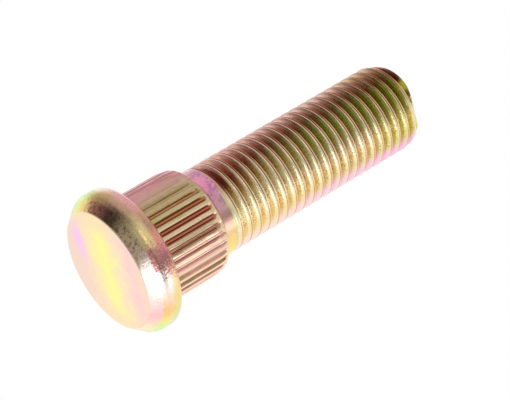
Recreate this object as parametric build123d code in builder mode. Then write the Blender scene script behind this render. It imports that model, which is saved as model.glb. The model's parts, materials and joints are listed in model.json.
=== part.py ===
import os

from build123d import *

# Press-in wheel bolt, forged, turned and rolled from one piece of steel.
# It stands on the flat of its head, with the origin at the centre of that flat
# and +Z along the shank. All sizes are in millimetres.

# Threaded shank, M12 x 1.5
thread_diameter = 11.86
thread_length = 31.75
point_length = 1.5
point_setback = 0.5

# Plain neck between the thread and the collar, as thick as the thread
neck_length = 1.8

# Splined collar that is pressed into the hub flange
collar_diameter = 14.65
collar_length = 9.15
collar_end_width = 0.35
shoulder_length = 0.8

# Splines: straight grooves rolled into the collar
spline_count = 36
groove_width = 0.68
groove_root_width = 0.18
groove_depth = 0.32
groove_start_gap = 0.3

# Head: flat face, bevelled front, plain rim and a flat seat under it
head_overhang = 2.28
head_rim_height = 2.3
head_bevel_height = 2.0
head_bevel_width = 1.62
face_edge_radius = 0.45
rim_front_radius = 1.3
rim_back_radius = 0.75
underhead_fillet = 0.4

# Radii that follow from the sizes above
thread_radius = thread_diameter / 2
point_radius = thread_radius - point_setback
collar_radius = collar_diameter / 2
shoulder_radius = collar_radius - collar_end_width
head_radius = collar_radius + head_overhang
face_radius = head_radius - head_bevel_width

# Heights along the axis, each built on the one before
head_top = head_bevel_height + head_rim_height
collar_top = head_top + collar_length
shoulder_top = collar_top + shoulder_length
bolt_top = shoulder_top + neck_length + thread_length
point_bottom = bolt_top - point_length
groove_start = head_top + underhead_fillet + groove_start_gap

# Corners of the half section that are rounded, with their radii
rounded_corners = [
    ((face_radius, 0), face_edge_radius),
    ((head_radius, head_bevel_height), rim_front_radius),
    ((head_radius, head_top), rim_back_radius),
    ((collar_radius, head_top), underhead_fillet),
]

# One groove, with sloping flanks and a flat root, drawn with X pointing out of the collar.
# Its mouth stands clear of the collar by half the groove's depth.
mouth_width = groove_width + (groove_width - groove_root_width) / 2
with BuildSketch() as groove:
    with BuildLine():
        Polyline(
            (groove_depth / 2, mouth_width / 2),
            (-groove_depth, groove_root_width / 2),
            (-groove_depth, -groove_root_width / 2),
            (groove_depth / 2, -mouth_width / 2),
            close=True,
        )
    make_face()

with BuildPart() as wheel_bolt:
    # Turned form: head, collar, shoulder and shank in one half section
    with BuildSketch(Plane.XZ) as half_section:
        with BuildLine():
            Polyline(
                (0, 0),
                (face_radius, 0),
                (head_radius, head_bevel_height),
                (head_radius, head_top),
                (collar_radius, head_top),
                (collar_radius, collar_top),
                (shoulder_radius, collar_top),
                (thread_radius, shoulder_top),
                (thread_radius, point_bottom),
                (point_radius, bolt_top),
                (0, bolt_top),
                close=True,
            )
        make_face()
        for corner, radius in rounded_corners:
            fillet(half_section.vertices().sort_by_distance(corner)[0], radius)
    revolve(axis=Axis.Z)

    # Splines: the grooves start a little above the fillet and run out through the collar's end
    with BuildSketch(Plane.XY.offset(groove_start)):
        with PolarLocations(collar_radius, spline_count):
            add(groove.sketch)
    extrude(amount=shoulder_top - groove_start, mode=Mode.SUBTRACT)

os.makedirs("parts", exist_ok=True)
wheel_bolt.part.label = "wheel_bolt"
export_step(wheel_bolt.part, "parts/wheel_bolt.step")
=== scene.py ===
import json
from math import acos, asin, ceil, cos, degrees, pi, radians, sin, tan
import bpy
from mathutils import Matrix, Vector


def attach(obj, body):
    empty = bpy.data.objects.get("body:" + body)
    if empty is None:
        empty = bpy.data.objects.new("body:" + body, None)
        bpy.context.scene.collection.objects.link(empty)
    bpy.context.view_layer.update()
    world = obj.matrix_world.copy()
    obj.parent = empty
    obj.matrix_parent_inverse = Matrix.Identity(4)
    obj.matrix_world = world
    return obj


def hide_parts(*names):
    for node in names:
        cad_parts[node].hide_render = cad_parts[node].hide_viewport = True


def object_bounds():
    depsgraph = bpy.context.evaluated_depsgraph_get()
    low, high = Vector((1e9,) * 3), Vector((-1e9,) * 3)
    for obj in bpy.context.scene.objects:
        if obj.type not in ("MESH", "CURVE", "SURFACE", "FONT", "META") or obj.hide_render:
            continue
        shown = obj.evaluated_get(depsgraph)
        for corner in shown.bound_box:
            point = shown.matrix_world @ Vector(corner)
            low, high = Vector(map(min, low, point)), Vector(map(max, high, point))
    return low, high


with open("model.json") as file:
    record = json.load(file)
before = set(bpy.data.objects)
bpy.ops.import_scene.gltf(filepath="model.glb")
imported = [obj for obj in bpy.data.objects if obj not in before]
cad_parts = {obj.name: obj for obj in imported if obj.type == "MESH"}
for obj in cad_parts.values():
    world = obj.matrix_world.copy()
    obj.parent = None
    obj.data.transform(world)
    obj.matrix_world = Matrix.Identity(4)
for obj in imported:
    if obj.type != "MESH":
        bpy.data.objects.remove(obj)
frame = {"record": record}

from types import SimpleNamespace

import bmesh
import bpy
from mathutils import Matrix, Vector, noise

mm = 0.001
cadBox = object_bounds()
mounts = {m["name"]: m for m in frame["record"]["mounts"]}
print("frame loaded, box in mm:", [[round(v / mm, 2) for v in corner] for corner in cadBox])


# The bolt's form, in millimetres. What the frame knows comes from the frame.
# Rings are either a count or shares of the stretch that they divide.
bolt = {
    "headRadius": cadBox[1].x / mm,
    "length": cadBox[1].z / mm,
    "headTop": mounts["head_seat"]["pos_m"][2] / mm,
    "collarRadius": mounts["splined_collar"]["dims"]["r_mm"],
    "threadRadius": mounts["thread"]["dims"]["r_mm"],
    "bevelHeight": 2.0,
    "bevelWidth": 1.62,
    "faceRings": (0.25, 0.5, 0.75),
    "faceEdgeStart": 0.85,  # share of the face's radius
    "faceEdgeRadius": 0.45,
    "rimFrontRadius": 1.3,
    "rimBackRadius": 0.75,
    "underheadFillet": 0.4,
    "headGap": 0.4,  # between the rings of the head
    "forgedDip": 0.035,  # how far the forged bevel and rim sink in at their hollows
    "forgedFrom": (0.2, 0.7),  # heights over which the hollows set in
    "forgedFade": 0.6,  # they fade out over this much below the seat
    "forgedHollows": [(0.55, 0.35), (1.7, 0.15)],  # scale of a noise, its share of the dip
    "collarLength": 9.4,
    "collarTaper": 2.0,  # the collar gets a little thinner over this length before its end
    "collarDrop": 0.2,
    "taperRings": 6,
    "collarNose": 0.25,
    "noseRings": 5,
    "shoulderLength": 0.75,
    "shoulderRings": (0.12, 0.5, 0.88, 1.0),
    "neckLength": 1.6,
    "neckRings": (0.1, 0.5, 0.9),
    "pointLength": 1.5,
    "pointSetback": 0.5,
    # where the rolled thread leaves the point uneven: degrees from +X, reach, depth
    "pointDents": [(243, 50, -0.38), (291, 45, 0.62)],
    # the end is turned slightly hollow: share of its radius, depth there
    "endHollow": [(0.97, 0.0), (0.9, 0.03), (0.7, 0.10), (0.4, 0.15), (0.15, 0.17)],
    "weldGap": 0.002,  # points closer than this become one
    "slimGap": 0.001,  # edges shorter than this are taken out
    "sharpAngle": 35,
    "normalWeight": 60,  # how much large faces count in the smooth shading
}
bolt["collarTop"] = bolt["headTop"] + bolt["collarLength"]
bolt["shoulderTop"] = bolt["collarTop"] + bolt["shoulderLength"]
bolt["neckTop"] = bolt["shoulderTop"] + bolt["neckLength"]
bolt["shoulderRadius"] = bolt["collarRadius"] - bolt["collarDrop"] - bolt["collarNose"]

spline = {
    "count": 36,
    "depth": 0.32,
    "startGap": 0.3,  # from the fillet under the head
    "runout": 0.5,
    "runoutRings": 4,
    "grooveRings": 4,
    # half of one groove: millimetres from its middle, share of the depth there
    "section": [(0.0, 1.0), (0.13, 0.95), (0.33, 0.08), (0.41, 0.0)],
}
spline["start"] = bolt["headTop"] + bolt["underheadFillet"] + spline["startGap"]

thread = {
    "pitch": 1.5,
    "phase": 0.6075,  # height of a crest above the +X axis
    "runout": 0.95,
    # half of one turn: millimetres along the axis from the crest's middle, depth there;
    # the rolled crest closes over a fine seam
    "section": [
        (0.0, 0.08), (0.065, 0.0), (0.14, 0.0), (0.25, 0.05),
        (0.38, 0.17), (0.50, 0.36), (0.66, 0.74), (0.75, 0.90),
    ],
}


def between(table, x):
    for (x0, y0), (x1, y1) in zip(table, table[1:]):
        if x <= x1:
            return y0 + (y1 - y0) * (x - x0) / (x1 - x0)
    return table[-1][1]


def smoothStep(lo, hi, x):
    k = min(max((x - lo) / (hi - lo), 0.0), 1.0)
    return k * k * (3 - 2 * k)


def roundedProfile(corners, steps=6):
    # corners are (r, z, radius); a corner with a radius becomes an arc of a few points
    points = []
    for i, (r, z, radius) in enumerate(corners):
        here = Vector((r, z))
        if not radius:
            points.append(here)
            continue
        back = (Vector(corners[i - 1][:2]) - here).normalized()
        ahead = (Vector(corners[i + 1][:2]) - here).normalized()
        half = acos(back.dot(ahead)) / 2
        middle = here + (back + ahead).normalized() * (radius / sin(half))
        first = here + back * (radius / tan(half)) - middle
        last = here + ahead * (radius / tan(half)) - middle
        for k in range(steps + 1):
            points.append(middle + radius * first.slerp(last, k / steps))  # slerp gives unit length
    return points


def filledIn(points, gap):
    # more points on the straight stretches, none further apart than the gap
    full = [points[0]]
    for start, end in zip(points, points[1:]):
        count = ceil((end - start).length / gap)
        full += [start.lerp(end, k / count) for k in range(1, count + 1)]
    return full


# Columns run along the bolt, seven to each spline, so that every groove edge is a mesh edge
grooveSection = [(-x, share) for x, share in spline["section"][:0:-1]] + spline["section"]
columns = []
for i in range(spline["count"]):
    for x, share in grooveSection:
        angle = 2 * pi * i / spline["count"] + asin(x / bolt["collarRadius"])
        columns.append((angle % (2 * pi), share))
columns.sort()
print("columns round the bolt:", len(columns))


def headRings():
    b = bolt
    faceRadius = b["headRadius"] - b["bevelWidth"]
    profile = roundedProfile([
        (faceRadius * b["faceEdgeStart"], 0.0, 0),
        (faceRadius, 0.0, b["faceEdgeRadius"]),
        (b["headRadius"], b["bevelHeight"], b["rimFrontRadius"]),
        (b["headRadius"], b["headTop"], b["rimBackRadius"]),
        (b["collarRadius"], b["headTop"], b["underheadFillet"]),
        (b["collarRadius"], spline["start"], 0),
    ])
    rings = [[(faceRadius * share, 0.0)] * len(columns) for share in b["faceRings"]]
    for p in filledIn(profile, b["headGap"]):
        # the forged outside is a little uneven, the face and the seat are not
        forged = smoothStep(*b["forgedFrom"], p.y)
        forged *= 1 - smoothStep(b["headTop"] - b["forgedFade"], b["headTop"], p.y)
        ring = []
        for angle, share in columns:
            spot = Vector((p.x * cos(angle), p.x * sin(angle), p.y))
            dip = 0.5
            for scale, part in b["forgedHollows"]:
                dip += part * noise.noise(spot * scale)
            ring.append((p.x - b["forgedDip"] * forged * dip, p.y))
        rings.append(ring)
    return rings


def collarRings():
    b = bolt
    full = spline["start"] + spline["runout"]
    nose = b["collarNose"]
    bend = b["collarTop"] - b["collarTaper"]

    def grooved(land, depth, z):
        # the land's radius, or the groove's where that is deeper
        return [(min(land, b["collarRadius"] - depth * share), z) for angle, share in columns]

    rings = []
    for k in range(1, spline["runoutRings"] + 1):  # the grooves deepen over their run-out
        share = k / spline["runoutRings"]
        depth = spline["depth"] * smoothStep(0, 1, share)
        rings.append(grooved(b["collarRadius"], depth, spline["start"] + spline["runout"] * share))
    for k in range(1, spline["grooveRings"] + 1):
        share = k / spline["grooveRings"]
        rings.append(grooved(b["collarRadius"], spline["depth"], full + (bend - full) * share))
    # the collar tapers and its edge is rounded, the grooves run out there, then the shoulder follows
    for k in range(1, b["taperRings"] + 1):
        share = k / b["taperRings"]
        land = b["collarRadius"] - b["collarDrop"] * share ** 2
        rings.append(grooved(land, spline["depth"], bend + (b["collarTaper"] - nose) * share))
    for k in range(1, b["noseRings"] + 1):
        turn = radians(90 * k / b["noseRings"])
        land = b["shoulderRadius"] + nose * cos(turn)
        rings.append(grooved(land, spline["depth"], b["collarTop"] - nose * (1 - sin(turn))))
    for share in b["shoulderRings"]:
        cone = b["shoulderRadius"] + (b["threadRadius"] - b["shoulderRadius"]) * share
        rings.append([(cone, b["collarTop"] + b["shoulderLength"] * share)] * len(columns))
    for share in b["neckRings"]:
        rings.append([(b["threadRadius"], b["shoulderTop"] + b["neckLength"] * share)] * len(columns))
    return rings


def pointDepth(angle):
    depth = bolt["pointSetback"]
    for middle, reach, dent in bolt["pointDents"]:
        gap = abs((degrees(angle) - middle + 180) % 360 - 180)
        depth += dent * (1 - smoothStep(0, reach, gap))
    return depth


def threadRadiusAt(z, angle):
    b = bolt
    turn = (z - thread["phase"]) / thread["pitch"] - angle / (2 * pi)
    away = abs(turn - round(turn)) * thread["pitch"]
    rolled = smoothStep(b["neckTop"], b["neckTop"] + thread["runout"], z)
    radius = b["threadRadius"] - between(thread["section"], away) * rolled
    pastStart = (z - b["length"] + b["pointLength"]) / b["pointLength"]
    return min(radius, b["threadRadius"] - pointDepth(angle) * pastStart)


def threadRows():
    # rows follow the helix and are cut off at the neck and at the end
    offsets = [-x for x, depth in thread["section"][-2:0:-1]] + [x for x, depth in thread["section"]]
    firstTurn = int((bolt["neckTop"] - thread["phase"]) / thread["pitch"]) - 2
    lastTurn = int((bolt["length"] - thread["phase"]) / thread["pitch"]) + 1
    rows = []
    for turn in range(firstTurn, lastTurn + 1):
        for x in offsets:
            row = []
            for angle, share in columns:
                z = thread["phase"] + thread["pitch"] * (turn + angle / (2 * pi)) + x
                z = min(max(z, bolt["neckTop"]), bolt["length"])
                row.append((threadRadiusAt(z, angle), z))
            rows.append(row)
    return rows, len(offsets)


def endRings():
    rim = [(threadRadiusAt(bolt["length"], angle), bolt["length"]) for angle, share in columns]
    inside = min(r for r, z in rim)
    rings = [rim]
    for share, drop in bolt["endHollow"]:
        rings.append([(inside * share, bolt["length"] - drop)] * len(columns))
    return rings


def buildBolt():
    bm = bmesh.new()
    count = len(columns)

    def addRing(ring):
        spots = [(r * mm * cos(a), r * mm * sin(a), z * mm) for (r, z), (a, share) in zip(ring, columns)]
        return [bm.verts.new(spot) for spot in spots]

    def bridge(low, high):
        for j in range(count):
            bm.faces.new((low[j], low[(j + 1) % count], high[(j + 1) % count], high[j]))

    def cap(ring, height):
        middle = bm.verts.new((0, 0, height * mm))
        for j in range(count):
            bm.faces.new((ring[j], ring[(j + 1) % count], middle))

    neckEnd = [(threadRadiusAt(bolt["neckTop"], angle), bolt["neckTop"]) for angle, share in columns]
    lower = [addRing(ring) for ring in headRings() + collarRings() + [neckEnd]]
    for low, high in zip(lower, lower[1:]):
        bridge(low, high)
    cap(lower[0], 0.0)

    rows, perTurn = threadRows()
    coil = [addRing(row) for row in rows]
    for i in range(len(coil) - 1):
        for j in range(count):
            step = perTurn if j + 1 == count else 0  # the last column meets the first one turn on
            if i + 1 + step < len(coil):
                k = (j + 1) % count
                bm.faces.new((coil[i][j], coil[i + step][k], coil[i + 1 + step][k], coil[i + 1][j]))

    end = [addRing(ring) for ring in endRings()]
    for low, high in zip(end, end[1:]):
        bridge(low, high)
    cap(end[-1], bolt["length"] - bolt["endHollow"][-1][1])

    bmesh.ops.remove_doubles(bm, verts=bm.verts, dist=bolt["weldGap"] * mm)
    bmesh.ops.dissolve_degenerate(bm, edges=bm.edges, dist=bolt["slimGap"] * mm)
    bmesh.ops.delete(bm, geom=[v for v in bm.verts if not v.link_faces], context="VERTS")
    bmesh.ops.recalc_face_normals(bm, faces=bm.faces)
    openEdges = sum(1 for e in bm.edges if len(e.link_faces) != 2)
    mesh = bpy.data.meshes.new("wheelBolt")
    bm.to_mesh(mesh)
    bm.free()
    mesh.shade_smooth()
    mesh.set_sharp_from_angle(angle=radians(bolt["sharpAngle"]))
    piece = bpy.data.objects.new("wheelBolt", mesh)
    bpy.context.scene.collection.objects.link(piece)
    even = piece.modifiers.new("evenNormals", "WEIGHTED_NORMAL")
    even.mode = "FACE_AREA"
    even.weight = bolt["normalWeight"]
    even.keep_sharp = True
    triangles = sum(len(p.vertices) - 2 for p in mesh.polygons)
    print("bolt mesh:", triangles, "triangles,", openEdges, "open edges")
    return piece


wheelBolt = buildBolt()
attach(wheelBolt, "root")
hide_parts("wheel_bolt")


# Camera, where the photograph was taken from: it looks up at the head from below.
# Degrees and millimetres, and the photograph's pixels.
shot = {
    "azimuth": -6.6,
    "elevation": -28.94,
    "roll": 59.29,
    "aim": (1.735, -0.202, 22.889),
    "distance": 309.82,
    "focalPixels": 2439.1,
    "imageWidth": 510,
    "sensorWidth": 36.0,
    "clip": (0.01, 20),  # metres
}


def addCamera():
    data = bpy.data.cameras.new("camera")
    data.sensor_width = shot["sensorWidth"]
    data.lens = shot["focalPixels"] * shot["sensorWidth"] / shot["imageWidth"]
    data.clip_start, data.clip_end = shot["clip"]
    a, e = radians(shot["azimuth"]), radians(shot["elevation"])
    back = Vector((sin(a) * cos(e), -cos(a) * cos(e), sin(e)))
    turn = (-back).to_track_quat("-Z", "Y").to_matrix() @ Matrix.Rotation(radians(shot["roll"]), 3, "Z")
    camera = bpy.data.objects.new("camera", data)
    place = (Vector(shot["aim"]) + back * shot["distance"]) * mm
    camera.matrix_world = Matrix.Translation(place) @ turn.to_4x4()
    bpy.context.scene.collection.objects.link(camera)
    bpy.context.scene.camera = camera


addCamera()
print("camera placed")


class Wire:
    # an output socket; sums, products and the like of wires become Math nodes
    def __init__(self, tree, socket):
        self.tree = tree
        self.socket = socket

    def mathNode(self, operation, *values):
        node = self.tree.nodes.new("ShaderNodeMath")
        node.operation = operation
        for slot, value in zip(node.inputs, values):
            if isinstance(value, Wire):
                self.tree.links.new(value.socket, slot)
            else:
                slot.default_value = value
        return Wire(self.tree, node.outputs[0])

    def maths(self, operation, *others):
        return self.mathNode(operation, self, *others)

    def __add__(self, other):
        return self.mathNode("ADD", self, other)

    def __radd__(self, other):
        return self.mathNode("ADD", other, self)

    def __sub__(self, other):
        return self.mathNode("SUBTRACT", self, other)

    def __rsub__(self, other):
        return self.mathNode("SUBTRACT", other, self)

    def __mul__(self, other):
        return self.mathNode("MULTIPLY", self, other)

    def __rmul__(self, other):
        return self.mathNode("MULTIPLY", other, self)

    def __truediv__(self, other):
        return self.mathNode("DIVIDE", self, other)

    def __rtruediv__(self, other):
        return self.mathNode("DIVIDE", other, self)

    def __pow__(self, other):
        return self.mathNode("POWER", self, other)

    def __rpow__(self, other):
        return self.mathNode("POWER", other, self)

    def __abs__(self):
        return self.mathNode("ABSOLUTE", self)


def tint(r, g, b):
    # display colour to scene colour
    return tuple(c / 12.92 if c <= 0.04045 else ((c + 0.055) / 1.055) ** 2.4 for c in (r, g, b)) + (1.0,)


class NodePad:
    # makes any other node: its settings first, then values or links for its sockets
    def __init__(self, tree):
        self.tree = tree
        tree.nodes.clear()

    def add(self, kind, settings=None, sockets=None, out=0):
        node = self.tree.nodes.new(kind)
        for name, value in (settings or {}).items():
            if name == "stops":
                self.setStops(node.color_ramp, value)
            else:
                setattr(node, name, value)
        for name, value in (sockets or {}).items():
            if isinstance(value, Wire):
                self.tree.links.new(value.socket, node.inputs[name])
            else:
                node.inputs[name].default_value = value
        return Wire(self.tree, node.outputs[out]) if node.outputs else node

    def setStops(self, ramp, stops):
        while len(ramp.elements) < len(stops):
            ramp.elements.new(1.0)
        for element, (place, colour) in zip(ramp.elements, stops):
            element.position = place
            element.color = tint(*colour)

    def outs(self, wire, *names):
        # more outputs of the node that a wire comes from
        return [Wire(self.tree, wire.socket.node.outputs[name]) for name in names]

    def ramp(self, factor, stops):
        return self.add("ShaderNodeValToRGB", {"stops": stops}, {"Fac": factor})

    def blend(self, factor, low, high, way="MIX"):
        # a colour is a wire or a display colour
        low, high = [c if isinstance(c, Wire) else tint(*c) for c in (low, high)]
        settings = {"data_type": "RGBA", "blend_type": way}
        return self.add("ShaderNodeMix", settings, {0: factor, 6: low, 7: high}, 2)

    def stain(self, factor, colour, dye):
        return self.blend(factor, colour, dye, "MULTIPLY")

    def step(self, value, lo, hi):
        sockets = {"Value": value, "From Min": lo, "From Max": hi}
        return self.add("ShaderNodeMapRange", {"interpolation_type": "SMOOTHSTEP"}, sockets)

    def fall(self, value, lo, hi):
        return 1 - self.step(value, lo, hi)

    def hump(self, value, middle, reach):
        # one at the middle, nothing beyond the reach
        return self.fall(abs(value - middle), 0.0, reach)

    def window(self, value, rise, full, fade, gone):
        return self.step(value, rise, full) * self.fall(value, fade, gone)

    def noise(self, place, scale, detail, roughness):
        sockets = {"Vector": place, "Scale": scale, "Detail": detail, "Roughness": roughness}
        return self.add("ShaderNodeTexNoise", {}, sockets)

    def dot(self, vector, direction):
        settings = {"operation": "DOT_PRODUCT"}
        return self.add("ShaderNodeVectorMath", settings, {0: vector, 1: direction}, "Value")


# Yellow passivated zinc: its film turns from gold to pink, olive and lime with its thickness.
# Each ramp runs round the bolt from the first side to the opposite one, and back the same way.
# Of two numbers the first is where something sets in, or starts to fade, and the second where it
# is full, or gone. Four are a rise and a fall. A place is a middle and a reach.
# Where the ramps by side turn pale they hold a painted highlight, and where they turn dark a painted
# shade, as the light falls round the bolt; between these they hold the film's own colours.
passivate = {
    "firstSide": 173.4,  # degrees from +X
    # noises: scale, detail, roughness
    "blotch": (0.35, 3.0, 0.6),
    "speck": (2.4, 4.0, 0.65),
    "grain": (4.5, 2.0, 0.6),
    "pits": (3.5, 4.0, 0.65),
    # how far the noises shift the colours round the bolt, the grain more where the light breaks off
    "blotchShift": 0.10,
    "speckShift": 0.05,
    "grainShift": 0.10,
    "raggedPlace": (0.55, 0.16),
    "raggedShift": 0.16,
    # borders between the painted zones: millimetres from the end of the lower one
    "faceBorder": (0.02, 0.25),
    "headBorder": (-0.05, 0.2),
    "collarBorder": (0.1, 0.4),
    "neckBorder": (0.0, 0.25),
    "endFaceFrom": (-0.25, -0.2),
    "endFaceEdge": (4.4, 4.9),  # radius at which the end face's colours fade
    "roughness": 0.22,
    "roughBlotch": 0.10,
    "roughSpeck": 0.14,
    "forgedPolish": 0.08,
    "forgedFrom": (0.1, 0.5),
    "forgedTo": (-0.3, 0.0),  # from the seat
    # millimetres of bump, and its shares all over, on the forged head and on the thread
    "bump": 0.045,
    "plainBump": 0.12,
    "forgedBump": 0.88,
    "threadBump": 0.75,
    "threadBumpFrom": (0.0, 1.0),  # from the neck's end
}
tiny = 0.0001  # keeps a division and an arc cosine inside their range


def boltSurface(pad):
    # what the paint goes by: millimetres in the bolt's frame, the turn, the side and the noises
    look = passivate
    place = pad.add("ShaderNodeVectorMath", {"operation": "SCALE"}, {
        0: pad.add("ShaderNodeTexCoord", out="Object"),
        "Scale": 1 / mm,
    })
    x, y, z = pad.outs(pad.add("ShaderNodeSeparateXYZ", {}, {0: place}), "X", "Y", "Z")
    radius = (x * x + y * y + tiny) ** 0.5
    turn = y.maths("ARCTAN2", x) * (0.5 / pi)
    blotch = pad.noise(place, *look["blotch"]) - 0.5
    speck = pad.noise(place, *look["speck"]) - 0.5
    grain = pad.noise(place, *look["grain"]) - 0.5
    first = radians(look["firstSide"])
    towards = (x * cos(first) + y * sin(first)) / radius
    side = (towards * (1 - tiny)).maths("ARCCOSINE") * (1 / pi)
    side = side + blotch * look["blotchShift"] + speck * look["speckShift"]
    shift = look["grainShift"] + pad.hump(side, *look["raggedPlace"]) * look["raggedShift"]
    return SimpleNamespace(
        place=place, x=x, y=y, z=z, radius=radius, turn=turn, blotch=blotch, speck=speck,
        grain=grain, side=side, ragged=side + grain * shift)


facePaint = {
    "streakAngle": 292.8,  # across the streaks, degrees from +X
    "streakReach": 8.0,  # from the middle to either end of the ramp
    "streakBlotch": 0.36,
    "streakSpeck": 0.14,
    "streaks": [
        (0.05, (0.97, 0.86, 0.79)),
        (0.20, (0.99, 0.86, 0.78)),
        (0.33, (1.00, 0.91, 0.74)),
        (0.48, (1.00, 0.98, 0.60)),
        (0.56, (1.00, 0.98, 0.60)),
        (0.70, (1.00, 0.91, 0.76)),
        (0.85, (1.00, 0.83, 0.82)),
        (0.95, (1.00, 0.87, 0.78)),
    ],
    "peach": (1.00, 0.88, 0.76),  # at the ends of the streaks
    "peachFrom": (4.0, 7.0),
    "peachBlotch": 4,
    "peachShare": 0.75,
    "lilac": (1.00, 0.79, 0.97),  # a patch, by its places across and along the streaks
    "lilacAcross": (-4.5, 2.0),
    "lilacAlong": (-3.3, 4.2),
    "lilacAcrossBlotch": 2,
    "lilacAlongBlotch": 3,
}


def paintFace(pad, on):
    look = facePaint
    angle = radians(look["streakAngle"])
    across = on.x * cos(angle) + on.y * sin(angle)
    along = on.y * cos(angle) - on.x * sin(angle)
    bands = across * (0.5 / look["streakReach"]) + 0.5
    bands = bands + on.blotch * look["streakBlotch"] + on.speck * look["streakSpeck"]
    ends = pad.step(abs(along) + on.blotch * look["peachBlotch"], *look["peachFrom"])
    colour = pad.blend(ends * look["peachShare"], pad.ramp(bands, look["streaks"]), look["peach"])
    patch = pad.hump(across + on.blotch * look["lilacAcrossBlotch"] + on.speck, *look["lilacAcross"])
    patch = patch * pad.hump(along + on.blotch * look["lilacAlongBlotch"] + on.speck, *look["lilacAlong"])
    return pad.blend(patch, colour, look["lilac"])


headPaint = {
    # bevel: dark from 0.14 to 0.27 as painted shade, nearly white from 0.62 to 0.74 as painted highlight,
    # the film's colours elsewhere
    "bevel": [
        (0.02, (0.92, 0.94, 0.55)),
        (0.10, (0.94, 0.80, 0.48)),
        (0.14, (0.74, 0.52, 0.43)),
        (0.21, (0.70, 0.47, 0.42)),
        (0.27, (0.58, 0.42, 0.36)),
        (0.33, (0.76, 0.66, 0.52)),
        (0.40, (0.84, 0.76, 0.60)),
        (0.52, (0.88, 0.78, 0.70)),
        (0.62, (1.00, 0.97, 0.96)),
        (0.74, (1.00, 0.94, 0.90)),
        (0.86, (1.00, 0.78, 0.80)),
        (1.00, (1.00, 0.96, 0.72)),
    ],
    "bevelGrain": (0.72, 0.66, 0.58),
    "bevelGrainShare": 0.5,  # of the fine grain among the specks
    "bevelGrainFrom": (-0.05, 0.12),
    "bevelGrainSides": (0.10, 0.16, 0.50, 0.57),
    "rimFrom": (1.25, 1.55),
    "rimSpeck": 0.3,
    # rim front: nearly white from 0.65 to 0.72 as painted highlight, dark just before it from 0.54 to
    # 0.615 as painted shade
    "rimFront": [
        (0.03, (0.88, 1.00, 0.68)),
        (0.14, (0.80, 0.66, 0.42)),
        (0.25, (0.84, 0.66, 0.56)),
        (0.33, (0.78, 0.64, 0.52)),
        (0.42, (0.95, 0.86, 0.62)),
        (0.48, (0.97, 0.85, 0.60)),
        (0.54, (0.84, 0.58, 0.54)),
        (0.615, (0.68, 0.46, 0.45)),
        (0.65, (1.00, 0.95, 0.93)),
        (0.72, (1.00, 0.92, 0.86)),
        (0.82, (1.00, 0.80, 0.52)),
        (0.90, (0.98, 0.92, 0.56)),
        (0.97, (0.86, 1.00, 0.58)),
    ],
    "rimBackFrom": (2.5, 3.3),
    "rimBackBlotch": 0.8,
    "rimBack": [
        (0.08, (1.00, 0.99, 0.90)),
        (0.18, (0.96, 0.76, 0.70)),
        (0.30, (0.97, 0.68, 0.70)),
        (0.36, (0.88, 0.66, 0.56)),
        (0.42, (0.74, 0.58, 0.48)),
        (0.48, (0.96, 0.66, 0.58)),
        (0.53, (0.88, 0.58, 0.60)),
        (0.59, (0.74, 0.45, 0.47)),
        (0.66, (0.97, 0.83, 0.64)),
        (0.80, (0.96, 0.88, 0.56)),
        (0.90, (0.86, 0.90, 0.62)),
    ],
    "bloom": (0.74, 0.90, 0.62),
    "bloomFrom": (0.06, 0.16),
    "bloomShare": 0.6,
    "bloomLess": 0.45,
    "bloomLessSides": (0.62, 0.72),
}


def paintHead(pad, on):
    look = headPaint
    # the rim's colours carry a painted highlight and painted shade round the bolt
    back = pad.step(on.z + on.blotch * look["rimBackBlotch"], *look["rimBackFrom"])
    rim = pad.blend(back, pad.ramp(on.ragged, look["rimFront"]), pad.ramp(on.ragged, look["rimBack"]))
    share = look["bloomShare"] - pad.step(on.side, *look["bloomLessSides"]) * look["bloomLess"]
    rim = pad.stain(pad.step(on.speck, *look["bloomFrom"]) * share, rim, look["bloom"])
    dark = pad.step(on.speck + on.grain * look["bevelGrainShare"], *look["bevelGrainFrom"])
    dark = dark * pad.window(on.side, *look["bevelGrainSides"])
    # the bevel's colours carry painted shade and a painted highlight round the bolt
    bevel = pad.stain(dark, pad.ramp(on.ragged, look["bevel"]), look["bevelGrain"])
    return pad.blend(pad.step(on.z + on.speck * look["rimSpeck"], *look["rimFrom"]), bevel, rim)


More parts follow.
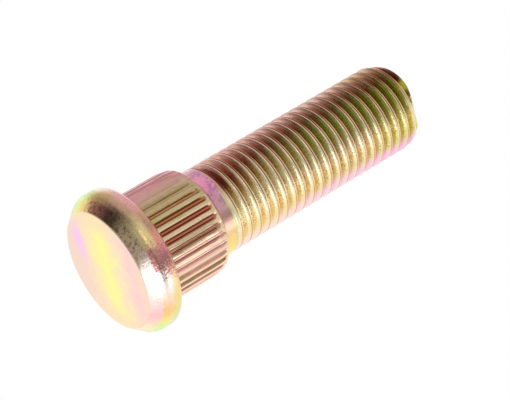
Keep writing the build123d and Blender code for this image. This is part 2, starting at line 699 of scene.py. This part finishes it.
collarPaint = {
    "land": [
        (0.02, (0.96, 0.80, 0.82)),
        (0.14, (0.87, 0.50, 0.59)),
        (0.22, (0.86, 0.66, 0.62)),
        (0.32, (0.77, 0.69, 0.52)),
        (0.42, (0.86, 0.78, 0.60)),
        (0.50, (0.92, 0.79, 0.64)),
        (0.58, (1.00, 0.90, 0.76)),
        (0.64, (0.84, 0.72, 0.60)),
        (0.71, (0.92, 0.80, 0.67)),
        (0.82, (1.00, 0.86, 0.72)),
        (0.95, (0.98, 0.80, 0.70)),
    ],
    "drawn": (1.6, 3.0, 0.6),  # streaks, a noise drawn out along the bolt
    "drawnStretch": (1, 1, 0.12),
    "drawnShift": 0.12,
    "bloom": (0.84, 0.92, 0.70),
    "bloomFrom": (-0.02, 0.10),
    "bloomSpeck": 0.3,
    "bloomSides": (0.42, 0.55),
    # past these sides one edge of each groove gets a painted highlight, and the groove's colours shift
    # off it
    "litSides": (0.38, 0.46),
    "edgeHighlight": (1.00, 0.95, 0.82),
    "edgeHighlightPlace": (-0.42, 0.14),
    "edgeHighlightShare": 0.7,
    "grooveShift": 0.06,
    # distances from the groove's middle at which the flank, in painted shade, and the land begin
    "flankFrom": (0.07, 0.15),
    "landFrom": (0.33, 0.43),
    "landLate": 0.06,
    "landLateSides": (0.5, 0.62),
    # the grooves run out at the collar's end, their middles last
    "tipFrom": (-0.45, -0.1),
    "tipSlope": 1.2,
    # the grooves' redder film, darkened as painted shade
    "groove": [
        (0.14, (0.83, 0.57, 0.58)),
        (0.20, (0.88, 0.67, 0.65)),
        (0.26, (0.89, 0.73, 0.61)),
        (0.31, (0.80, 0.68, 0.51)),
        (0.38, (0.74, 0.52, 0.38)),
        (0.45, (0.73, 0.41, 0.31)),
        (0.52, (0.75, 0.41, 0.34)),
        (0.58, (0.80, 0.58, 0.45)),
        (0.63, (0.88, 0.68, 0.62)),
        (0.70, (0.92, 0.72, 0.69)),
        (0.77, (0.90, 0.68, 0.62)),
        (0.82, (0.66, 0.50, 0.36)),
        (0.88, (0.94, 0.74, 0.62)),
    ],
    # the grooves' sides, darker still as painted shade
    "flankShade": [
        (0.14, (0.82, 0.56, 0.57)),
        (0.20, (0.87, 0.66, 0.64)),
        (0.26, (0.86, 0.72, 0.60)),
        (0.31, (0.76, 0.66, 0.48)),
        (0.38, (0.64, 0.49, 0.31)),
        (0.45, (0.66, 0.44, 0.29)),
        (0.52, (0.70, 0.44, 0.32)),
        (0.58, (0.75, 0.56, 0.41)),
        (0.64, (0.80, 0.62, 0.54)),
        (0.70, (0.85, 0.66, 0.61)),
        (0.76, (0.84, 0.64, 0.56)),
        (0.82, (0.66, 0.50, 0.36)),
        (0.88, (0.93, 0.72, 0.60)),
    ],
}


def paintCollar(pad, on):
    look = collarPaint
    grooves = on.turn * spline["count"]
    spacing = 2 * pi * bolt["collarRadius"] / spline["count"]
    tilt = (grooves - grooves.maths("ROUND")) * spacing  # from the groove's middle, with its sign
    lit = pad.step(on.side, *look["litSides"])
    across = abs(tilt - lit * look["grooveShift"])

    stretched = pad.add("ShaderNodeVectorMath", {"operation": "MULTIPLY"}, {
        0: on.place,
        1: look["drawnStretch"],
    })
    drawn = pad.noise(stretched, *look["drawn"]) - 0.5
    land = pad.ramp(on.ragged + drawn * look["drawnShift"], look["land"])
    bloom = pad.step(drawn + on.speck * look["bloomSpeck"], *look["bloomFrom"])
    land = pad.stain(bloom * pad.fall(on.side, *look["bloomSides"]), land, look["bloom"])
    # painted highlight along one edge of each groove on the lit sides
    land = pad.blend(pad.hump(tilt, *look["edgeHighlightPlace"]) * lit * look["edgeHighlightShare"], land, look["edgeHighlight"])

    # painted shade in the grooves, darkest on their sides
    flankShade = pad.step(across, *look["flankFrom"])
    groove = pad.blend(flankShade, pad.ramp(on.side, look["groove"]), pad.ramp(on.side, look["flankShade"]))
    late = pad.step(on.side, *look["landLateSides"]) * look["landLate"]
    onLand = pad.step(across - late, *look["landFrom"])
    tip = [bolt["collarTop"] + reach for reach in look["tipFrom"]]
    onTip = pad.step(on.z + across * look["tipSlope"], *tip)
    return pad.blend(onLand.maths("MAXIMUM", onTip), groove, land)


neckPaint = {
    "film": [
        (0.05, (0.96, 0.80, 0.74)),
        (0.20, (0.99, 0.68, 0.76)),
        (0.34, (0.97, 0.62, 0.76)),
        (0.44, (0.85, 0.61, 0.68)),
        (0.56, (0.87, 0.69, 0.66)),
        (0.66, (0.93, 0.73, 0.64)),
        (0.76, (0.98, 0.85, 0.57)),
        (0.92, (1.00, 0.92, 0.45)),
    ],
    "filmSpeck": 0.22,
    "filmGrain": 0.10,
    "bloom": (0.84, 0.86, 0.92),
    "bloomFrom": (-0.02, 0.12),
    "bloomSpeck": 0.7,
    "bloomSides": (0.52, 0.62),
    "lime": (0.90, 0.84, 0.58),  # a line where the thread starts
    "limeReach": 0.3,
    "limeSides": (0.36, 0.5),
}


def paintNeck(pad, on):
    look = neckPaint
    shifted = on.side + on.speck * look["filmSpeck"] + on.grain * look["filmGrain"]
    bloom = pad.step(on.blotch + on.speck * look["bloomSpeck"], *look["bloomFrom"])
    bloom = bloom * pad.fall(on.side, *look["bloomSides"])
    colour = pad.stain(bloom, pad.ramp(shifted, look["film"]), look["bloom"])
    line = pad.hump(on.z, bolt["neckTop"], look["limeReach"]) * pad.step(on.side, *look["limeSides"])
    return pad.blend(line, colour, look["lime"])


threadPaint = {
    # near turns: dark round 0.30 as painted shade, nearly white from 0.53 to 0.70 as painted highlight
    "near": [
        (0.06, (0.96, 0.78, 0.72)),
        (0.20, (0.78, 0.56, 0.48)),
        (0.30, (0.68, 0.48, 0.40)),
        (0.36, (0.75, 0.65, 0.50)),
        (0.44, (0.86, 0.79, 0.62)),
        (0.53, (0.98, 0.95, 0.83)),
        (0.62, (1.00, 0.97, 0.86)),
        (0.70, (1.00, 0.94, 0.79)),
        (0.80, (0.99, 0.90, 0.66)),
        (0.90, (1.00, 0.89, 0.80)),
    ],
    "nearLate": 0.06,  # the first turns' colours come this much later round the bolt, so their painted shade reaches further and their painted highlight starts later
    "nearLateTo": (18.0, 24.0),
    "farFrom": (18.0, 36.0),
    "farBlotch": 10,
    # far turns: darkest round 0.29 as painted shade, pale from 0.62 to 0.80 as painted highlight
    "far": [
        (0.06, (0.96, 0.81, 0.75)),
        (0.20, (0.76, 0.58, 0.50)),
        (0.29, (0.62, 0.52, 0.36)),
        (0.36, (0.64, 0.65, 0.38)),
        (0.44, (0.70, 0.72, 0.42)),
        (0.53, (0.78, 0.76, 0.55)),
        (0.62, (0.93, 0.89, 0.80)),
        (0.70, (0.94, 0.87, 0.72)),
        (0.80, (0.93, 0.88, 0.66)),
        (0.90, (1.00, 0.79, 0.93)),
    ],
    "lastFrom": (38.0, 44.0),
    "lastBlotch": 8,
    "last": [
        (0.28, (0.94, 0.94, 0.82)),
        (0.40, (0.86, 0.88, 0.60)),
        (0.54, (0.93, 0.96, 0.76)),
        (0.64, (0.96, 1.00, 0.82)),
        (0.76, (0.94, 1.00, 0.77)),
        (0.86, (1.00, 0.96, 1.00)),
    ],
    # spots on the dark sides, then a mottle on the bright ones: dye, share of specks, size, sides
    "spots": [
        ((0.82, 0.76, 0.60), 0.4, (0.0, 0.14), (0.20, 0.28, 0.48, 0.58)),
        ((0.86, 0.76, 0.58), 0.6, (0.02, 0.14), (0.50, 0.62, 0.76, 0.84)),
    ],
    # distances from the crest's middle; the painted highlights on the crest's lips shift a little along
    # the thread
    "drift": 0.010,
    "driftFrom": 31,
    # painted shade in the thread's root, lighter on the lit sides of the near turns
    "root": (0.74, 0.52, 0.42),
    "rootShadeFrom": (0.50, 0.72),
    "rootShadeShare": 0.3,
    "rootShadeLess": 0.22,
    "rootShadeLessSides": (0.55, 0.65),
    "crestEdge": (0.15, 0.28),
    "crestShare": 0.85,
    "crestSpread": 0.14,  # the painted highlight on the crest is wider where light falls on it, less so past its middle
    "crestSpreadLess": 0.06,
    "crestSpreadSides": (0.33, 0.60),
    "crestMiddle": (-0.05, 0.05),
    # painted highlight along the crest, in the film's peach and cream
    "crestHighlight": [
        (0.06, (0.99, 0.83, 0.77)),
        (0.20, (0.95, 0.76, 0.68)),
        (0.36, (0.97, 0.84, 0.70)),
        (0.46, (0.98, 0.88, 0.72)),
        (0.56, (0.98, 0.94, 0.76)),
        (0.66, (1.00, 0.97, 0.80)),
        (0.78, (0.98, 0.88, 0.66)),
        (0.90, (1.00, 0.90, 0.84)),
    ],
    # past the crest's middle its far lip is darkened from 0.22 to 0.30 as painted shade, and tinted pink
    # elsewhere
    "farLipFrom": (-0.03, 0.03),
    "farLipShade": [
        (0.10, (0.98, 0.90, 0.88)),
        (0.22, (0.72, 0.55, 0.52)),
        (0.30, (0.60, 0.40, 0.36)),
        (0.38, (0.98, 0.84, 0.84)),
        (0.80, (0.96, 0.88, 0.84)),
    ],
    "shade": (0.82, 0.76, 0.74),  # beside the crest
    "shadePlace": (-0.30, 0.25),
    "shadeSides": (0.14, 0.24),
    "shadeShare": 0.7,
    # dark crimson painted shade in the seam on the crest, less on the lit sides
    "seamShade": (0.54, 0.08, 0.12),
    "seamEdge": (0.04, 0.11),
    "seamShadeShare": 0.66,
    "seamShadeLess": 0.36,
    "seamShadeLessSides": (0.5, 0.7),
    "start": (0.64, 0.38, 0.36),  # the shadow in the first turn, by its place from the neck's end
    "startPlace": (0.75, 0.8),
    "startSides": (0.40, 0.52),
    "pointFrom": (-1.0, -0.7),  # from the bolt's end
    "pointSpeck": 0.3,
    # the point: dark from 0.22 to 0.34 and round 0.50 as painted shade
    "point": [
        (0.12, (0.84, 0.66, 0.58)),
        (0.22, (0.62, 0.42, 0.36)),
        (0.34, (0.54, 0.36, 0.28)),
        (0.39, (0.88, 0.86, 0.48)),
        (0.45, (0.84, 0.82, 0.48)),
        (0.50, (0.58, 0.52, 0.34)),
        (0.60, (0.92, 0.84, 0.60)),
        (0.80, (0.96, 0.88, 0.56)),
        (0.92, (1.00, 0.80, 0.92)),
    ],
}


def paintThread(pad, on):
    look = threadPaint
    coil = (on.z - thread["phase"]) * (1 / thread["pitch"]) - on.turn
    lean = (coil - coil.maths("ROUND")) * thread["pitch"]  # from the crest's middle, with its sign
    drifted = lean - (on.z - look["driftFrom"]) * look["drift"]
    away = abs(drifted)

    # near turns, far turns and the last few; their dark stretches are painted shade and their pale ones
    # painted highlight
    late = on.ragged - pad.fall(on.z, *look["nearLateTo"]) * look["nearLate"]
    far = pad.step(on.z + on.blotch * look["farBlotch"], *look["farFrom"])
    colour = pad.blend(far, pad.ramp(late, look["near"]), pad.ramp(on.ragged, look["far"]))
    last = pad.step(on.z + on.blotch * look["lastBlotch"], *look["lastFrom"])
    colour = pad.stain(last, colour, pad.ramp(on.ragged, look["last"]))
    for dye, share, size, sides in look["spots"]:
        spots = pad.step(on.grain + on.speck * share, *size) * pad.window(on.side, *sides)
        colour = pad.stain(spots, colour, dye)

    # painted shade in the root, then the painted highlight on the crest with its far lip in painted
    # shade, the painted shade beside it and in the seam on it
    share = look["rootShadeShare"] - pad.step(on.side, *look["rootShadeLessSides"]) * (1 - far) * look["rootShadeLess"]
    colour = pad.blend(pad.step(away, *look["rootShadeFrom"]) * share, colour, look["root"])
    spread = look["crestSpread"] - pad.step(drifted, *look["crestMiddle"]) * look["crestSpreadLess"]
    spread = pad.step(on.side, *look["crestSpreadSides"]) * spread
    farLipShade = pad.step(lean, *look["farLipFrom"])
    crestHighlight = pad.stain(farLipShade, pad.ramp(on.side, look["crestHighlight"]), pad.ramp(on.side, look["farLipShade"]))
    crestHighlightMask = pad.fall(away - spread, *look["crestEdge"])
    colour = pad.blend(crestHighlightMask * look["crestShare"], colour, crestHighlight)
    shade = pad.hump(drifted, *look["shadePlace"]) * pad.fall(on.side, *look["shadeSides"])
    colour = pad.stain(shade * look["shadeShare"], colour, look["shade"])
    share = look["seamShadeShare"] - pad.step(on.side, *look["seamShadeLessSides"]) * look["seamShadeLess"]
    colour = pad.blend(pad.fall(abs(lean), *look["seamEdge"]) * share, colour, look["seamShade"])

    # both ends of the thread
    start = pad.hump(on.z - bolt["neckTop"], *look["startPlace"])
    colour = pad.stain(start * pad.fall(on.side, *look["startSides"]), colour, look["start"])
    point = pad.step(on.z - bolt["length"] + on.speck * look["pointSpeck"], *look["pointFrom"])
    return pad.blend(point, colour, pad.ramp(on.ragged, look["point"]))


def yellowPassivate():
    look = passivate
    material = bpy.data.materials.new("yellowPassivate")
    material.use_nodes = True
    pad = NodePad(material.node_tree)
    on = boltSurface(pad)

    def past(height, border):
        return pad.step(on.z, height + border[0], height + border[1])

    face = paintFace(pad, on)
    colour = paintThread(pad, on)
    colour = pad.blend(past(bolt["neckTop"], look["neckBorder"]), paintNeck(pad, on), colour)
    colour = pad.blend(past(bolt["collarTop"], look["collarBorder"]), paintCollar(pad, on), colour)
    colour = pad.blend(past(bolt["headTop"], look["headBorder"]), paintHead(pad, on), colour)
    colour = pad.blend(past(0.0, look["faceBorder"]), face, colour)
    endFace = past(bolt["length"], look["endFaceFrom"]) * pad.fall(on.radius, *look["endFaceEdge"])
    colour = pad.blend(endFace, colour, face)

    # coarse grain on the forged bevel and rim and on the thread, fine elsewhere
    forged = past(0.0, look["forgedFrom"]) * (1 - past(bolt["headTop"], look["forgedTo"]))
    threaded = past(bolt["neckTop"], look["threadBumpFrom"])
    height = look["plainBump"] + forged * look["forgedBump"] + threaded * look["threadBump"]
    roughness = on.blotch * look["roughBlotch"] + on.speck * look["roughSpeck"] + look["roughness"]
    bump = pad.add("ShaderNodeBump", {}, {
        "Height": pad.noise(on.place, *look["pits"]) * height,
        "Strength": 1.0,
        "Distance": look["bump"] * mm,
    })
    shader = pad.add("ShaderNodeBsdfPrincipled", {}, {
        "Base Color": colour,
        "Metallic": 1.0,
        "Roughness": roughness - forged * look["forgedPolish"],
        "Normal": bump,
    })
    pad.add("ShaderNodeOutputMaterial", {}, {"Surface": shader})
    return material


wheelBolt.data.materials.append(yellowPassivate())
print("finish painted")


# Studio: white paper on one side of the bolt, and on the other a dim room with soft lights
studio = {
    "awayFromPaper": (-0.643, -0.761, -0.085),
    "paperBorder": (-0.06, 0.06),
    "roomLow": 0.45,
    "roomHigh": 0.75,
    "roomFrom": (-0.4, 0.35),  # from low to high, by the upward part of the direction
    # direction, full up to the first angle and gone at the second, level
    "lights": [
        ((0.55, -0.475, -0.68), 13, 19, 2.0),
        ((0.672, -0.521, 0.486), 5, 14, 1.0),
        ((-0.357, -0.907, -0.219), 4, 12, 1.4),
    ],
    "shades": [
        ((-0.80, -0.05, -0.58), 4, 21, 0.40),
        ((0.35, -0.80, 0.48), 3, 15, 0.35),
    ],
    "ambient": 0.75,
    "floorRadius": 0.5,
    "floorSides": 96,
    "floorDrop": 0.02 * mm,  # keeps the floor clear of the head's face
    "floorFade": (0.15, 0.9),  # shares of the radius
    "floorColour": (0.95, 0.95, 0.95),
    "floorRoughness": 0.8,
    "lampPlace": (-0.25, -0.30, 0.50),
    "lampSize": 0.25,
    "lampPower": 1.4,
}


def buildWorld():
    world = bpy.data.worlds.new("studio")
    world.use_nodes = True
    bpy.context.scene.world = world
    pad = NodePad(world.node_tree)
    rays = pad.add("ShaderNodeLightPath")
    camera, glossy, through = pad.outs(rays, "Is Camera Ray", "Is Glossy Ray", "Is Transmission Ray")
    direction = pad.add("ShaderNodeTexCoord", out="Generated")
    paper = pad.fall(pad.dot(direction, studio["awayFromPaper"]), *studio["paperBorder"])
    upward = pad.step(pad.dot(direction, (0, 0, 1)), *studio["roomFrom"])

    def spot(way, inner, outer):
        near = pad.dot(direction, Vector(way).normalized())
        return pad.step(near, cos(radians(outer)), cos(radians(inner)))

    room = upward * (studio["roomHigh"] - studio["roomLow"]) + studio["roomLow"]
    for way, inner, outer, level in studio["lights"]:
        room = room + spot(way, inner, outer) * level
    for way, inner, outer, level in studio["shades"]:
        room = room - spot(way, inner, outer) * level
    seen = room.maths("MAXIMUM", paper)  # metal mirrors the paper and the room
    backdrop = camera + through
    level = backdrop + (1 - backdrop) * (glossy * seen + (1 - glossy) * studio["ambient"])
    light = pad.add("ShaderNodeBackground", {}, {"Color": (1, 1, 1, 1), "Strength": level})
    pad.add("ShaderNodeOutputWorld", {}, {"Surface": light})
    bpy.context.scene.view_settings.view_transform = "Standard"


def buildFloor():
    # a pale disc that melts into the white backdrop, seen only from above
    bm = bmesh.new()
    radius = studio["floorRadius"]
    bmesh.ops.create_circle(bm, cap_ends=True, segments=studio["floorSides"], radius=radius)
    bmesh.ops.translate(bm, verts=bm.verts, vec=(0, 0, -studio["floorDrop"]))
    mesh = bpy.data.meshes.new("floor")
    bm.to_mesh(mesh)
    bm.free()
    floor = bpy.data.objects.new("floor", mesh)
    bpy.context.scene.collection.objects.link(floor)
    floor.visible_diffuse = False
    floor.visible_glossy = False
    floor.visible_shadow = False

    material = bpy.data.materials.new("paleFloor")
    material.use_nodes = True
    pad = NodePad(material.node_tree)
    place = pad.add("ShaderNodeTexCoord", out="Object")
    distance = pad.add("ShaderNodeVectorMath", {"operation": "LENGTH"}, {0: place}, "Value")
    fade = pad.step(distance, *[radius * share for share in studio["floorFade"]])
    below = pad.add("ShaderNodeNewGeometry", out="Backfacing")
    pale = pad.add("ShaderNodeBsdfPrincipled", {}, {
        "Base Color": tint(*studio["floorColour"]),
        "Roughness": studio["floorRoughness"],
        "Specular IOR Level": 0.0,
    })
    clear = pad.add("ShaderNodeBsdfTransparent")
    mixed = pad.add("ShaderNodeMixShader", {}, {0: fade.maths("MAXIMUM", below), 1: pale, 2: clear})
    pad.add("ShaderNodeOutputMaterial", {}, {"Surface": mixed})
    mesh.materials.append(material)


def addLamp():
    # soft lamp that throws the bolt's shadow on the floor
    data = bpy.data.lights.new("softLamp", "AREA")
    data.shape = "DISK"
    data.size = studio["lampSize"]
    data.energy = studio["lampPower"]
    lamp = bpy.data.objects.new("softLamp", data)
    lamp.location = studio["lampPlace"]
    lamp.rotation_euler = (-Vector(studio["lampPlace"])).to_track_quat("-Z", "Y").to_euler()
    lamp.visible_glossy = False
    bpy.context.scene.collection.objects.link(lamp)


buildWorld()
buildFloor()
addLamp()
print("studio lit")
